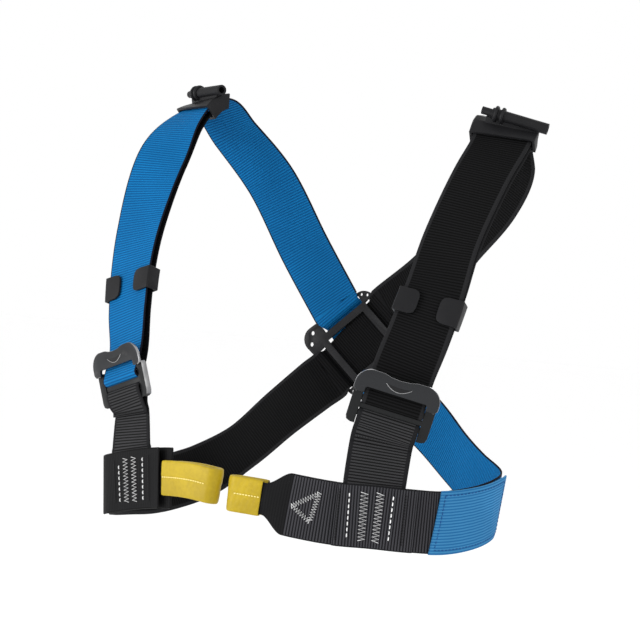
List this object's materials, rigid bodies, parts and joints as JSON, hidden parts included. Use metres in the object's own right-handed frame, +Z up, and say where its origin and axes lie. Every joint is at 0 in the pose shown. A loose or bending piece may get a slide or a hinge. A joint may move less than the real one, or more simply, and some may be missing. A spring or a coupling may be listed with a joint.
{
  "type": "chest harness",
  "caption": "Climbing chest harness: shoulder webbing crossed at a back plate, adjuster buckles in front and a chest band that ends in sleeved tie-in loops.",
  "frame": {"origin": "midway between the two shoulder straps, near where they cross the shoulders", "axes": "+Z up, -Y the way the wearer faces, +X towards the wearer's left arm"},
  "size_m": [0.3351, 0.2132, 0.3455],
  "materials": {
    "webbing_blue": "ribbed woven webbing with dark selvedges",
    "webbing_black": "ribbed woven webbing",
    "sleeve_yellow": "coated wear sleeve with a stitched seam",
    "moulded_black": "fine grained moulding",
    "buckle_metal": "dark anodised with bright worn edges"
  },
  "bodies": {
    "root": {"web_blue": "webbing_blue", "blue_cover": "webbing_blue", "web_black": "webbing_black", "belt_left": "webbing_black", "tab_right": "webbing_black", "loop_right": "webbing_black", "riser_left": "webbing_black", "riser_right": "webbing_black", "patch_left": "webbing_black", "patch_right": "webbing_black", "sleeve_left": "sleeve_yellow", "sleeve_right": "sleeve_yellow", "back_plate": "moulded_black", "keeper_left": "moulded_black", "keeper_right": "moulded_black", "shoulder_clip_left": "moulded_black", "shoulder_clip_right": "moulded_black", "buckle_frame_left": "buckle_metal", "buckle_frame_right": "buckle_metal", "buckle_top_left": "buckle_metal", "buckle_top_right": "buckle_metal"}
  },
  "joints": []
}
